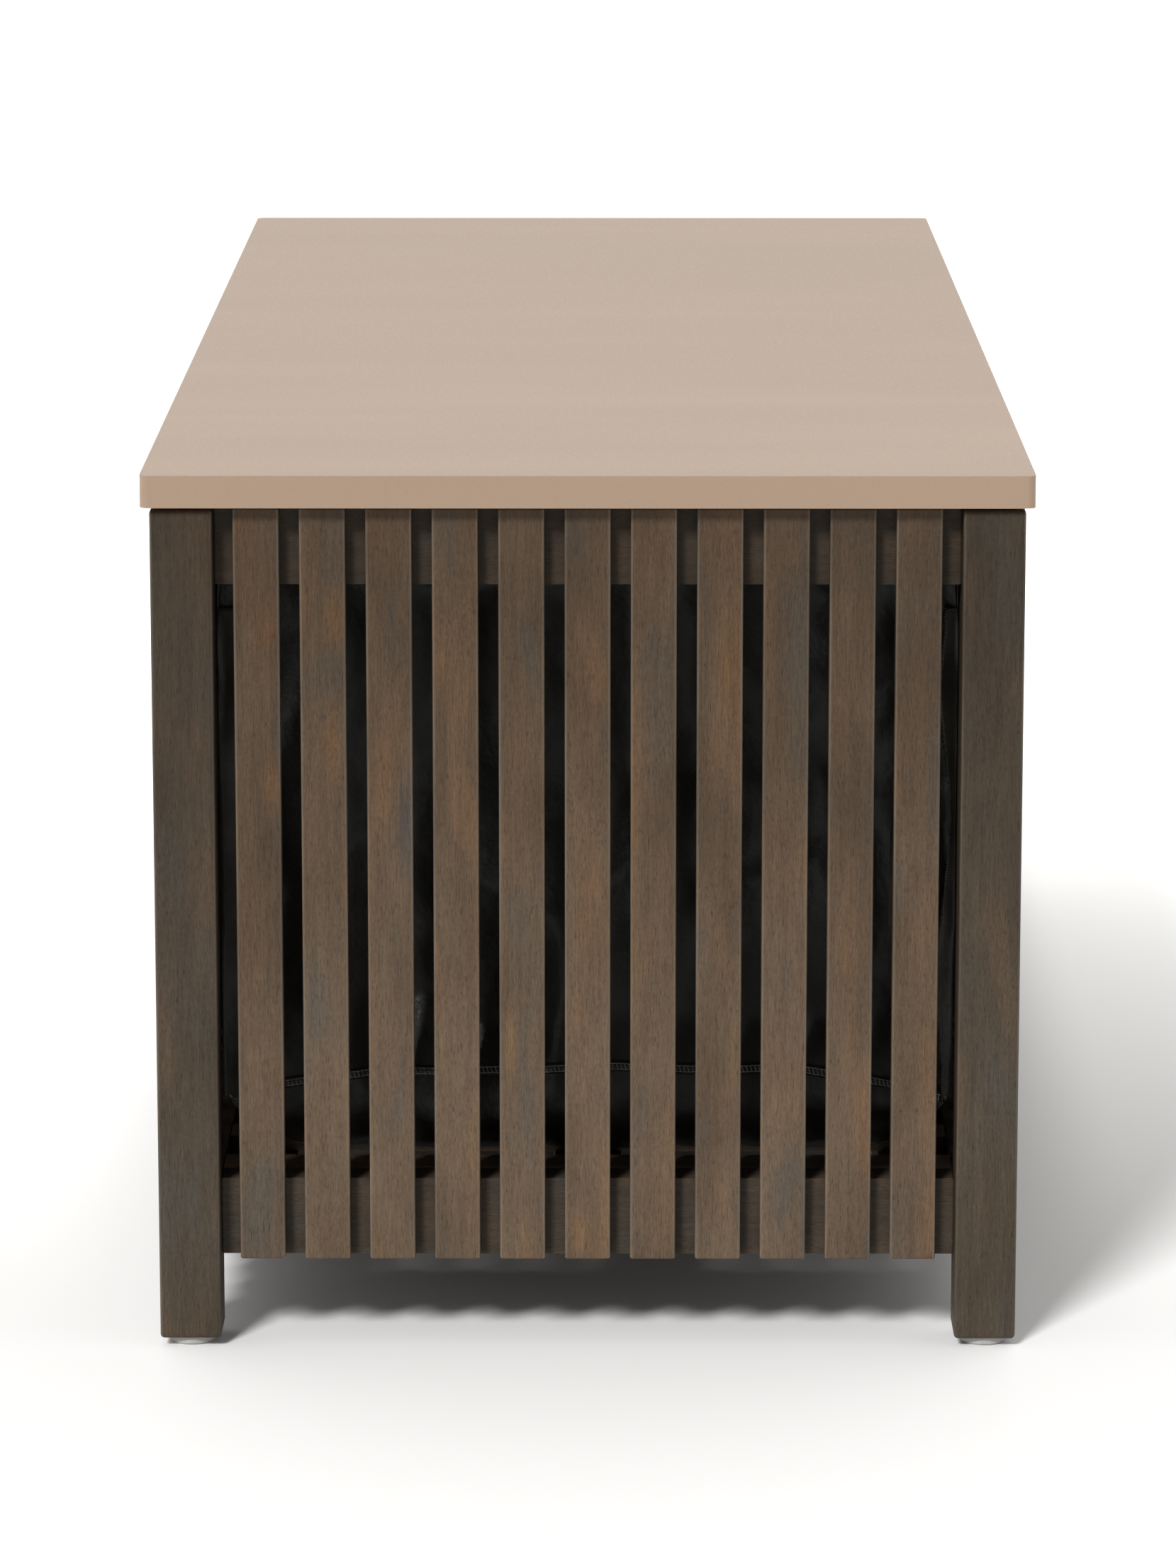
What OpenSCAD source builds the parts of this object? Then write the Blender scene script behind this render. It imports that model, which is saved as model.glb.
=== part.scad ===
// Deck storage box: a slatted hardwood chest on four posts, with a flat hinged lid,
// a sewn liner bag, butt hinges along the back and a gas strut at each end.
// Millimetres. +X runs along the chest, -Y is its front, +Z is up and the floor is z = 0.
// In the names, left is -X, right is +X, front is -Y and back is +Y.

/* [Chest] */
// Length of the lid
lid_l = 1400; // [1100:10:1500]
// Depth of the lid
lid_d = 600; // [596:1:620]
// Thickness of the lid
lid_t = 22; // [18:1:30]
// Radius of the lid's corners, seen from above
lid_corner_r = 6; // [2:1:20]
// Height from the floor to the top of the lid
total_h = 609; // [590:1:660]
// Gap between the frame and the closed lid
lid_gap = 2; // [2:0.5:4]
// Overhang of the lid past the posts, on every side
overhang = 6; // [5:1:10]

/* [Frame] */
// Side of a square post
post_w = 42; // [38:1:48]
// Thickness of a rail
rail_t = 25; // [22:1:26]
// Height of a rail
rail_h = 54; // [50:1:70]
// Height of the bottom rails' lower edges above the floor
rail_z = 62; // [50:1:80]
// Diameter of a dowel
dowel_d = 8; // [6:1:8]
// Length of a dowel
dowel_l = 38; // [30:2:40]

/* [Slats] */
// Width of a wall slat
slat_w = 31; // [25:1:34]
// Thickness of a wall slat
slat_t = 12.5; // [10:0.5:13]
// Number of slats on each end wall
end_slats = 11; // [11]
// Number of slats on each long wall
side_slats = 29; // [20:1:30]
// Number of slats in the base
base_slat_n = 17; // [10:1:20]
// Thickness of a base slat
base_slat_t = 12; // [10:1:14]
// Width of a bearer under the base slats
bearer_w = 48; // [30:1:60]
// Height of a bearer
bearer_h = 25; // [20:1:28]

/* [Feet] */
// Diameter of the glide under each post
glide_d = 34; // [24:1:36]
// Height of a glide
glide_h = 6; // [4:1:10]

/* [Liner] */
// Thickness of the liner's coated cloth
liner_t = 1.5; // [1:0.5:2]
// Distance from the top of the rails down to the liner's hem
liner_drop = 10; // [8:1:12]
// Height of the floor seam above the base slats
liner_seam_h = 79; // [60:1:100]
// How far the floor panel slopes in below that seam
liner_slope = 92; // [40:1:100]

/* [Hinges] */
// Number of butt hinges along the back
hinge_n = 3; // [3]
// Distance from one hinge to the next
hinge_pitch = 490; // [300:10:500]
// Length of a hinge
hinge_l = 76; // [60:1:90]
// Radius of a hinge's knuckles
knuckle_r = 3; // [2.8:0.1:3]
// Radius of a hinge's pin
hinge_pin_r = 1.6; // [1.2:0.2:1.6]

/* [Gas struts] */
// Distance of the frame pivot behind the middle of the chest
strut_frame_y = 230; // [220:1:232]
// Height of the frame pivot
strut_frame_z = 546; // [543:1:550]
// Distance of the lid pivot behind the middle of the chest
strut_lid_y = -45; // [-70:5:-20]
// Height of the lid pivot while the lid is closed
strut_lid_z = 563; // [558:1:566]
// Outer radius of a strut's tube
tube_r = 7.5; // [7:0.5:8]
// Length of a strut's tube
tube_l = 148; // [145:1:160]
// Radius of a strut's rod
rod_r = 3.5; // [3:0.5:4]

/* [Hidden] */
$fn = 48;
// Radial clearance of a pin or rod in the bore that it runs in
run_gap = 0.05;
// Distance between bodies that pass each other
side_gap = 0.3;
// Overrun of a cutting solid
eps = 1;

lid_z = total_h - lid_t;
frame_top = lid_z - lid_gap;
post_x = lid_l / 2 - overhang - post_w / 2;
post_y = lid_d / 2 - overhang - post_w / 2;
inner_x = post_x - post_w / 2;
inner_y = post_y - post_w / 2;
top_rail_z = frame_top - rail_h;
rail_top = rail_z + rail_h;
bearer_z = rail_top - base_slat_t - bearer_h;

liner_x = inner_x - side_gap;
liner_y = inner_y - side_gap;
liner_top = frame_top - liner_drop;
liner_seam_z = rail_top + liner_seam_h;

hinge_y = lid_d / 2 - knuckle_r;
hinge_z = lid_z - knuckle_r - side_gap;
leaf_t = 0.8;
leaf_w = 40;
knuckle_n = 5;

// The socket at each end of a strut is a short drum that turns on a stud.
socket_r = 7.5;
socket_w = 9;
stud_r = 4;
plate_t = 2;
bracket_w = 36;
strut_x = liner_x - liner_t - 2 * plate_t - tube_r;
strut_l = norm([strut_lid_y - strut_frame_y, strut_lid_z - strut_frame_z]);
strut_tilt = atan2(strut_lid_z - strut_frame_z, strut_lid_y - strut_frame_y);
tube_start = 15;
piston_start = 38;

slat_names = ["01", "02", "03", "04", "05", "06", "07", "08", "09", "10", "11"];

wood = "#5b5148";
rail_wood = "#4d443c";
steel = "#b9bbbd";

// ---- Shared shapes ----

// A box from its lowest and highest corners.
module block(low, high) {
    translate(low) cube(high - low);
}

// A solid rod along X, from x = 0.
module rod_x(r, l) {
    rotate([0, 90, 0]) cylinder(r = r, h = l);
}

// A solid rod along Y, from y = 0.
module rod_y(r, l) {
    rotate([-90, 0, 0]) cylinder(r = r, h = l);
}

// A countersunk wood screw whose head is flush at z = 0 and whose shank runs down.
module screw(l, r = 1.9) {
    translate([0, 0, -l]) cylinder(r = r, h = l);
    translate([0, 0, -r]) cylinder(r1 = r, r2 = 2 * r, h = r);
}

// Centre of slat i of n along a wall of the given clear length, with equal gaps.
function slat_at(i, n, clear) = -clear / 2 + (i + 0.5) * slat_w + (i + 1) * (clear - n * slat_w) / (n + 1);

// Centre of base slat i along X.
base_first = inner_x - slat_w / 2 - 3.5;
function base_at(i) = -base_first + i * 2 * base_first / (base_slat_n - 1);

// ---- Frame ----

module post(sx, sy) {
    color(wood)
        translate([sx * post_x, sy * post_y, 0])
            block([-post_w / 2, -post_w / 2, glide_h], [post_w / 2, post_w / 2, frame_top]);
}

module front_left_post() { post(-1, -1); }
module front_right_post() { post(1, -1); }
module back_left_post() { post(-1, 1); }
module back_right_post() { post(1, 1); }

// A rail along X, between two posts, on the front (-1) or the back (1).
module long_rail(side, z) {
    color(rail_wood)
        translate([0, side * (inner_y + rail_t / 2), z])
            block([-inner_x, -rail_t / 2, 0], [inner_x, rail_t / 2, rail_h]);
}

// A rail along Y, between two posts, on the left (-1) or the right (1).
module end_rail(side, z) {
    color(rail_wood)
        translate([side * (inner_x + rail_t / 2), 0, z])
            block([-rail_t / 2, -inner_y, 0], [rail_t / 2, inner_y, rail_h]);
}

module front_top_rail() { long_rail(-1, top_rail_z); }
module back_top_rail() { long_rail(1, top_rail_z); }
module left_top_rail() { end_rail(-1, top_rail_z); }
module right_top_rail() { end_rail(1, top_rail_z); }
module front_bottom_rail() { long_rail(-1, rail_z); }
module back_bottom_rail() { long_rail(1, rail_z); }
module left_bottom_rail() { end_rail(-1, rail_z); }
module right_bottom_rail() { end_rail(1, rail_z); }

// Dowels join the rails to the posts, and the bearers to the end rails. Those of the long
// rails and of the end rails sit at different heights, so that they miss each other in a post.
module rail_dowels() {
    color("burlywood") {
        for (sx = [-1, 1], sy = [-1, 1], z = [top_rail_z, rail_z]) {
            for (h = [10, 34])
                translate([sx * (inner_x + rail_t / 2), sy * inner_y - dowel_l / 2, z + h])
                    rod_y(dowel_d / 2, dowel_l);
            for (h = [22, 46])
                translate([sx * inner_x - dowel_l / 2, sy * (inner_y + rail_t / 2), z + h])
                    rod_x(dowel_d / 2, dowel_l);
        }
        for (sx = [-1, 1], y = bearer_ys, dy = [-14, 14])
            translate([sx * inner_x - dowel_l / 2, y + dy, bearer_z + 7])
                rod_x(dowel_d / 2, dowel_l);
    }
}

// ---- Base ----

bearer_ys = [-(inner_y - bearer_w / 2), 0, inner_y - bearer_w / 2];

module bearer(y) {
    color(rail_wood)
        block([-inner_x, y - bearer_w / 2, bearer_z], [inner_x, y + bearer_w / 2, bearer_z + bearer_h]);
}

module front_bearer() { bearer(bearer_ys[0]); }
module centre_bearer() { bearer(bearer_ys[1]); }
module back_bearer() { bearer(bearer_ys[2]); }

module base_slats() {
    color(rail_wood)
        for (i = [0 : base_slat_n - 1])
            translate([base_at(i), 0, bearer_z + bearer_h])
                block([-slat_w / 2, -inner_y, 0], [slat_w / 2, inner_y, base_slat_t]);
}

// ---- Walls ----

module long_wall(side) {
    color(wood)
        for (i = [0 : side_slats - 1])
            translate([slat_at(i, side_slats, 2 * inner_x), side * (inner_y + rail_t + slat_t / 2), 0])
                block([-slat_w / 2, -slat_t / 2, rail_z], [slat_w / 2, slat_t / 2, frame_top]);
}

module front_slats() { long_wall(-1); }
module back_slats() { long_wall(1); }

module end_slat(side, i) {
    color(wood)
        translate([side * (inner_x + rail_t + slat_t / 2), slat_at(i, end_slats, 2 * inner_y), 0])
            block([-slat_t / 2, -slat_w / 2, rail_z], [slat_t / 2, slat_w / 2, frame_top]);
}

// Each wall slat is screwed from inside through both of its rails, and each base slat from
// above into the three bearers.
module slat_screws() {
    wall_screw = rail_t + 0.7 * slat_t;
    color(steel) {
        for (z = [top_rail_z, rail_z], side = [-1, 1]) {
            for (i = [0 : end_slats - 1])
                translate([side * inner_x, slat_at(i, end_slats, 2 * inner_y), z + rail_h / 2])
                    rotate([0, -side * 90, 0]) screw(wall_screw);
            for (i = [0 : side_slats - 1])
                translate([slat_at(i, side_slats, 2 * inner_x), side * inner_y, z + rail_h / 2])
                    rotate([side * 90, 0, 0]) screw(wall_screw);
        }
        for (i = [0 : base_slat_n - 1], y = bearer_ys)
            translate([base_at(i), y, rail_top]) screw(base_slat_t + 0.7 * bearer_h);
    }
}

// ---- Feet ----

// A plastic glide with its nail, under each post.
module foot_glides() {
    color("lightgray")
        for (sx = [-1, 1], sy = [-1, 1])
            translate([sx * post_x, sy * post_y, 0]) {
                cylinder(r1 = glide_d / 2 - 1.5, r2 = glide_d / 2, h = 1.5);
                translate([0, 0, 1.5]) cylinder(r = glide_d / 2, h = glide_h - 1.5);
                cylinder(r = 2, h = glide_h + 18);
            }
}

// ---- Liner ----

// The bag's outer or inner shape: upright walls above the seam and a sloping floor panel below
// it. It is the common part of two prisms, one along each axis.
module bag(x, y, low, high) {
    intersection() {
        translate([0, y + eps, 0]) rotate([90, 0, 0])
            linear_extrude(2 * (y + eps)) bag_outline(x, low, high);
        translate([-x - eps, 0, 0]) rotate([90, 0, 90])
            linear_extrude(2 * (x + eps)) bag_outline(y, low, high);
    }
}

module bag_outline(half, low, high) {
    foot = half - liner_slope;
    polygon([[-half, high], [-half, liner_seam_z], [-foot, low], [foot, low], [half, liner_seam_z], [half, high]]);
}

module liner() {
    color("#1b1a18")
        difference() {
            bag(liner_x, liner_y, rail_top, liner_top);
            bag(liner_x - liner_t, liner_y - liner_t, rail_top + liner_t, liner_top + eps);
        }
}

// Dome-headed studs that hold the liner's hem to the top rails.
module liner_studs() {
    stud_z = liner_top - 7;
    color("#33312e") {
        for (side = [-1, 1], y = [-180 : 120 : 180])
            translate([side * (liner_x - liner_t), y, stud_z])
                rotate([0, side * 90, 0]) liner_stud();
        for (side = [-1, 1], x = [-560 : 160 : 560])
            translate([x, side * (liner_y - liner_t), stud_z])
                rotate([-side * 90, 0, 0]) liner_stud();
    }
}

// One stud, with its head below z = 0 and its shank along +Z.
module liner_stud() {
    translate([0, 0, -0.7]) cylinder(r = 6, h = 0.7);
    translate([0, 0, -1.3]) cylinder(r1 = 4.6, r2 = 6, h = 0.6);
    cylinder(r = 1.5, h = 15);
}

// ---- Lid ----

module lid_panel() {
    color("#c2ad9c")
        translate([0, 0, lid_z])
            linear_extrude(lid_t) {
                square([lid_l - 2 * lid_corner_r, lid_d], center = true);
                square([lid_l, lid_d - 2 * lid_corner_r], center = true);
                for (sx = [-1, 1], sy = [-1, 1])
                    translate([sx * (lid_l / 2 - lid_corner_r), sy * (lid_d / 2 - lid_corner_r)])
                        circle(lid_corner_r);
            }
}

// Rubber pads under the lid that land on the tops of the posts.
module lid_bumpers() {
    color("#2a2826")
        for (sx = [-1, 1], sy = [-1, 1])
            translate([sx * post_x, sy * post_y, frame_top + side_gap])
                cylinder(r = 7, h = lid_gap - side_gap);
}

// ---- Hinges ----

// Start of knuckle k along X, from the hinge's left end.
function knuckle_at(k) = -hinge_l / 2 + k * hinge_l / knuckle_n;

module at_hinges() {
    for (i = [0 : hinge_n - 1])
        translate([(i - (hinge_n - 1) / 2) * hinge_pitch, hinge_y, hinge_z]) children();
}

// One leaf: a plate from z = plate_z, wrapped into the knuckles whose numbers are listed,
// and cut back round the other leaf's knuckles.
module leaf(plate_z, own, other, bore_r) {
    knuckle_l = hinge_l / knuckle_n;
    difference() {
        union() {
            block([-hinge_l / 2, -leaf_w, plate_z], [hinge_l / 2, 0, plate_z + leaf_t]);
            for (k = own)
                translate([knuckle_at(k) + side_gap / 2, 0, 0]) rod_x(knuckle_r, knuckle_l - side_gap);
        }
        for (k = other)
            translate([knuckle_at(k) - side_gap / 2, 0, 0])
                rod_x(knuckle_r + side_gap, knuckle_l + side_gap);
        translate([-hinge_l / 2 - eps, 0, 0]) rod_x(bore_r, hinge_l + 2 * eps);
    }
}

module hinge_frame_leaves() {
    color(steel) at_hinges() leaf(frame_top - hinge_z, [0, 2, 4], [1, 3], hinge_pin_r);
}

module hinge_lid_leaves() {
    color(steel) at_hinges() leaf(lid_z - leaf_t - hinge_z, [1, 3], [0, 2, 4], hinge_pin_r + run_gap);
}

module hinge_pins() {
    color(steel) at_hinges() translate([-hinge_l / 2, 0, 0]) rod_x(hinge_pin_r, hinge_l);
}

module hinge_frame_screws() {
    color(steel)
        at_hinges()
            for (x = [-26, 0, 26])
                translate([x, -29, frame_top + leaf_t - hinge_z]) screw(20, 1.6);
}

module hinge_lid_screws() {
    color(steel)
        at_hinges()
            for (x = [-26, 0, 26])
                translate([x, -29, lid_z - leaf_t - hinge_z]) rotate([180, 0, 0]) screw(16, 1.6);
}

// ---- Gas struts ----

// Draws its children at the left (-1) or right (1) end, with x = 0 in the strut's own plane
// and +X towards the end wall.
module at_end(side) {
    if (side > 0) translate([strut_x, 0, 0]) children();
    else mirror([1, 0, 0]) translate([strut_x, 0, 0]) children();
}

// Draws its children with the origin at the frame pivot and +Y towards the lid pivot.
module along_strut() {
    translate([0, strut_frame_y, strut_frame_z]) rotate([strut_tilt, 0, 0]) children();
}

// A plate screwed through the liner to the end rail, with the stud that the tube turns on.
module frame_bracket(side) {
    plate_x = strut_x_to_liner - plate_t;
    color(steel)
        at_end(side) {
            block([plate_x, strut_frame_y - bracket_w / 2, strut_frame_z - 13],
                  [plate_x + plate_t, strut_frame_y + bracket_w / 2, strut_frame_z + 13]);
            translate([-socket_w / 2 + 2, strut_frame_y, strut_frame_z])
                rod_x(stud_r, plate_x + socket_w / 2 - 2 + eps);
            for (hole = [[-13, -7], [-13, 7], [13, 7]])
                translate([plate_x, strut_frame_y + hole[0], strut_frame_z + hole[1]])
                    rotate([0, -90, 0]) screw(22, 1.4);
        }
}

// An angle under the lid whose stud stops just short of the rod's socket.
module lid_bracket(side) {
    ear_x = strut_x_to_liner - 2 * plate_t;
    color(steel)
        at_end(side) {
            block([ear_x - 24, strut_lid_y - bracket_w / 2, lid_z - plate_t],
                  [ear_x + plate_t, strut_lid_y + bracket_w / 2, lid_z]);
            block([ear_x, strut_lid_y - 8, strut_lid_z], [ear_x + plate_t, strut_lid_y + 8, lid_z]);
            translate([ear_x, strut_lid_y, strut_lid_z]) rod_x(8, plate_t);
            translate([socket_w / 2 + side_gap, strut_lid_y, strut_lid_z])
                rod_x(stud_r, ear_x - socket_w / 2 - side_gap + eps);
            for (dy = [-12, 12])
                translate([ear_x - 14, strut_lid_y + dy, lid_z - plate_t])
                    rotate([180, 0, 0]) screw(16, 1.6);
        }
}

// Distance from the strut's plane to the liner's inner face.
strut_x_to_liner = liner_x - liner_t - strut_x;

// The tube, with a blind socket for the frame stud, a chamber for the piston and a gland that
// the rod runs through.
module strut_tube(side) {
    tube_end = tube_start + tube_l;
    color("#26262a")
        at_end(side) along_strut()
            difference() {
                union() {
                    translate([-socket_w / 2, 0, 0]) rod_x(socket_r, socket_w);
                    rod_y(4.2, tube_start + eps);
                    translate([0, tube_start, 0]) rod_y(tube_r, tube_l);
                }
                translate([-socket_w / 2 + 1.5, 0, 0]) rod_x(stud_r + run_gap, socket_w);
                translate([0, tube_start + 5, 0]) rod_y(tube_r - 1.2, tube_l - 15);
                translate([0, tube_end - 11, 0]) rod_y(rod_r + run_gap, 11 + eps);
            }
}

// The rod, with its piston in the tube and its socket beside the lid stud.
module strut_rod(side) {
    color("#8f9194")
        at_end(side) along_strut() {
            translate([0, piston_start, 0]) rod_y(tube_r - 1.2 - run_gap, 8);
            translate([0, piston_start, 0]) rod_y(rod_r, strut_l - piston_start);
            translate([0, strut_l - 18, 0]) rod_y(4.6, 18);
            translate([-socket_w / 2, strut_l, 0]) rod_x(socket_r, socket_w);
        }
}

module left_frame_bracket() { frame_bracket(-1); }
module left_lid_bracket() { lid_bracket(-1); }
module left_strut_tube() { strut_tube(-1); }
module left_strut_rod() { strut_rod(-1); }
module right_frame_bracket() { frame_bracket(1); }
module right_lid_bracket() { lid_bracket(1); }
module right_strut_tube() { strut_tube(1); }
module right_strut_rod() { strut_rod(1); }

// ---- Nodes ----

front_left_post();
front_right_post();
back_left_post();
back_right_post();
front_top_rail();
back_top_rail();
left_top_rail();
right_top_rail();
front_bottom_rail();
back_bottom_rail();
left_bottom_rail();
right_bottom_rail();
front_bearer();
centre_bearer();
back_bearer();
base_slats();
front_slats();
back_slats();
for (i = [0 : end_slats - 1])
    end_slat(-1, i);
for (i = [0 : end_slats - 1])
    end_slat(1, i);
rail_dowels();
slat_screws();
foot_glides();
liner();
liner_studs();
lid_panel();
lid_bumpers();
hinge_frame_leaves();
hinge_lid_leaves();
hinge_pins();
hinge_frame_screws();
hinge_lid_screws();
left_frame_bracket();
left_lid_bracket();
left_strut_tube();
left_strut_rod();
right_frame_bracket();
right_lid_bracket();
right_strut_tube();
right_strut_rod();
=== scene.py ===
"""Deck storage box: looks for the CAD frame, in metres and in the frame's own axes."""

import math

import bpy
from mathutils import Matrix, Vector, noise as field
from mathutils.bvhtree import BVHTree


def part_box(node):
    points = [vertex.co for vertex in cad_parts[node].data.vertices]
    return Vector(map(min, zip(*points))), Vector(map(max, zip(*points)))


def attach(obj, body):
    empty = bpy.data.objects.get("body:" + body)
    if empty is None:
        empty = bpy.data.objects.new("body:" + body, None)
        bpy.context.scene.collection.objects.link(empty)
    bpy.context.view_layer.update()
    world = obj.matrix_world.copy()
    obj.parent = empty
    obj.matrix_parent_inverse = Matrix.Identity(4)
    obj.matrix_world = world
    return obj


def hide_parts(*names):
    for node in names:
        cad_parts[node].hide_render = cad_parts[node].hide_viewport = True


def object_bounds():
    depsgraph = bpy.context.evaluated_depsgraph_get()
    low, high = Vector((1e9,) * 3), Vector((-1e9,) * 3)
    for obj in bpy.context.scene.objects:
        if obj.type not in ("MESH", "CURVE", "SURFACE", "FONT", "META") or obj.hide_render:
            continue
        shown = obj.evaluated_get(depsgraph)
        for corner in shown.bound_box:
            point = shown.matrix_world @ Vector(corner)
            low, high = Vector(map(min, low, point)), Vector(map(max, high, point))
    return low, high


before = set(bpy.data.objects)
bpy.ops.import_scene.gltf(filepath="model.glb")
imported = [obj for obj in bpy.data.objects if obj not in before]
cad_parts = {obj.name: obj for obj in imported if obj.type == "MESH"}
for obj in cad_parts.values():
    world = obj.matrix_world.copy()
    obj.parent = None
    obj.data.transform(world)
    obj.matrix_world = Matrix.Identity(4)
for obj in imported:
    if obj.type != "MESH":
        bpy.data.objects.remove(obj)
cad_low, cad_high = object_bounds()

# ---------------------------------------------------------------- names of nodes

WALL_X = ["front_slats", "back_slats"]
WALL_Y = [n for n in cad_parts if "_slat_" in n]
POSTS = [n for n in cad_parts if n.endswith("_post")]
RAILS_X = [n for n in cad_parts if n.startswith(("front_", "back_")) and n.endswith("_rail")]
RAILS_Y = [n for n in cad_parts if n.startswith(("left_", "right_")) and n.endswith("_rail")]
BEARERS = [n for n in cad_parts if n.endswith("_bearer")]
STEEL = ["hinge_frame_leaves", "hinge_lid_leaves", "hinge_pins"]
SCREWS = ["slat_screws", "hinge_frame_screws", "hinge_lid_screws"]
BRACKETS = [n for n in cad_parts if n.endswith("_bracket")]
TUBES = [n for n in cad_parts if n.endswith("_strut_tube")]
RODS = [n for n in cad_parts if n.endswith("_strut_rod")]

# ---------------------------------------------------------------- camera

SENSOR_MM = 36.0
LONG_SIDE_PX = 2212
FOCAL_PX = 8411.0
CAMERA_AT = (4.628, 0.0111, 1.269)
CAMERA_PITCH = math.radians(10.99)
CAMERA_YAW = -0.0027
CAMERA_SHIFT_Y = -0.1


def make_camera():
    data = bpy.data.cameras.new("camera")
    data.sensor_width = SENSOR_MM
    data.lens = FOCAL_PX / LONG_SIDE_PX * SENSOR_MM
    data.shift_y = CAMERA_SHIFT_Y
    data.clip_end = 200.0
    camera = bpy.data.objects.new("camera", data)
    camera.location = CAMERA_AT
    look = Vector((
        -math.cos(CAMERA_PITCH) * math.cos(CAMERA_YAW),
        math.sin(CAMERA_YAW),
        -math.sin(CAMERA_PITCH),
    ))
    camera.rotation_mode = "QUATERNION"
    camera.rotation_quaternion = look.to_track_quat("-Z", "Y")
    bpy.context.collection.objects.link(camera)
    bpy.context.scene.camera = camera


# ---------------------------------------------------------------- node helpers


def new_material(name):
    """A material with one Principled shader, and its tree."""
    material = bpy.data.materials.new(name)
    material.use_nodes = True
    tree = material.node_tree
    shader = tree.nodes["Principled BSDF"]
    return material, tree, shader


def put(tree, socket, value):
    """Sets an input to a constant, or links it from another node's output."""
    if isinstance(value, bpy.types.NodeSocket):
        tree.links.new(value, socket)
    else:
        socket.default_value = value


def add(tree, kind, inputs=None, out=0, **settings):
    """Adds a node, sets its settings and inputs, and returns one of its outputs."""
    node = tree.nodes.new("ShaderNode" + kind)
    for key, value in settings.items():
        setattr(node, key, value)
    for key, value in (inputs or {}).items():
        put(tree, node.inputs[key], value)
    return node.outputs[out]


def math_node(tree, operation, a, b=0.0):
    return add(tree, "Math", {0: a, 1: b}, operation=operation)


def vector_node(tree, operation, a, b=(0.0, 0.0, 0.0)):
    return add(tree, "VectorMath", {0: a, 1: b}, operation=operation)


def times(tree, *factors):
    """The product of several values."""
    product = factors[0]
    for factor in factors[1:]:
        product = math_node(tree, "MULTIPLY", product, factor)
    return product


def axes(tree, vector):
    """The X, Y and Z of a vector, as outputs."""
    node = tree.nodes.new("ShaderNodeSeparateXYZ")
    put(tree, node.inputs[0], vector)
    return node.outputs


def object_place(tree):
    """Where the shaded point is in its piece's own axes, which are the frame's."""
    return add(tree, "TexCoord", out=3)


def opaque(colour, share=1.0):
    """A colour at some share of its strength, with its fourth value."""
    return tuple(share * c for c in colour) + (1.0,)


def mix_colour(tree, factor, a, b, blend="MIX"):
    node = tree.nodes.new("ShaderNodeMix")
    node.data_type = "RGBA"
    node.blend_type = blend
    put(tree, node.inputs["Factor"], factor)
    put(tree, node.inputs[6], a)
    put(tree, node.inputs[7], b)
    return node.outputs[2]


def scale_colour(tree, colour, shades):
    """Multiplies a colour's red, green and blue by three values."""
    scale = add(tree, "CombineColor", dict(enumerate(shades)))
    return mix_colour(tree, 1.0, colour, scale, "MULTIPLY")


def ramp(tree, value, stops):
    """A colour ramp through (position, colour) stops."""
    node = tree.nodes.new("ShaderNodeValToRGB")
    put(tree, node.inputs[0], value)
    elements = node.color_ramp.elements
    while len(elements) < len(stops):
        elements.new(0.5)
    for element, (position, colour) in zip(elements, stops):
        element.position = position
        element.color = opaque(colour)
    return node.outputs[0]


def step(tree, value, low, high, to_low=0.0, to_high=1.0):
    """Rises smoothly from to_low to to_high while value goes from low to high."""
    return add(
        tree, "MapRange",
        {0: value, 1: low, 2: high, 3: to_low, 4: to_high},
        interpolation_type="SMOOTHSTEP",
    )


def noise(tree, at, scale, detail=2.0, rough=0.5, distortion=0.0):
    return add(
        tree, "TexNoise",
        {"Vector": at, "Scale": scale, "Detail": detail, "Roughness": rough, "Distortion": distortion},
    )


def noise_along(tree, place, cycles, detail, rough):
    """Noise with its own cycles per metre on each axis."""
    return noise(tree, vector_node(tree, "MULTIPLY", place, cycles), 1.0, detail, rough)


def bump(tree, height, strength, distance, normal=None):
    inputs = {"Height": height, "Strength": strength, "Distance": distance}
    if normal is not None:
        inputs["Normal"] = normal
    return add(tree, "Bump", inputs)


# ---------------------------------------------------------------- wood

# Each axis order puts the two directions across the grain first and the grain last.
GRAIN = {"x": ("Y", "Z", "X"), "y": ("X", "Z", "Y"), "z": ("X", "Y", "Z")}
# The stain of the slats, and of the posts and rails: dark, mid, light, warm and cool.
BROWN = (
    (0.065, 0.0435, 0.0265),
    (0.081, 0.0545, 0.034),
    (0.097, 0.066, 0.042),
    (0.115, 0.067, 0.036),
    (0.062, 0.053, 0.042),
)
GREY = (
    (0.038, 0.028, 0.018),
    (0.046, 0.0345, 0.023),
    (0.054, 0.041, 0.028),
    (0.062, 0.041, 0.025),
    (0.044, 0.038, 0.03),
)
ORANGE = (0.122, 0.067, 0.03)
TAN = (0.125, 0.073, 0.037)
BLUE = (0.05, 0.048, 0.044)
# The warmest and coolest spots on the right end's slats: middle y and z, half sizes and tone.
END_X = 0.69
END_SPOTS = (
    (-0.216, 0.505, 0.011, 0.03, ORANGE),
    (-0.213, 0.395, 0.012, 0.035, ORANGE),
    (-0.17, 0.51, 0.012, 0.035, ORANGE),
    (-0.172, 0.425, 0.011, 0.045, ORANGE),
    (-0.123, 0.37, 0.01, 0.06, BLUE),
    (0.008, 0.47, 0.009, 0.03, TAN),
    (0.032, 0.38, 0.006, 0.17, TAN),
    (0.095, 0.475, 0.013, 0.07, ORANGE),
    (-0.052, 0.215, 0.006, 0.04, TAN),
    (-0.005, 0.08, 0.01, 0.025, TAN),
)
# Painted shade and light: the wood is darker and yellower near the lid and lighter near the floor, for the
# lid's shade above and the floor's bounced light below: red, green and blue at both.
PAINTED_LIGHT_TOP = 0.6
PAINTED_LIGHT_FOOT = 0.12
PAINTED_LIGHT_FADE = ((0.7, 1.12), (0.655, 1.12), (0.6, 1.13))
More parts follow.
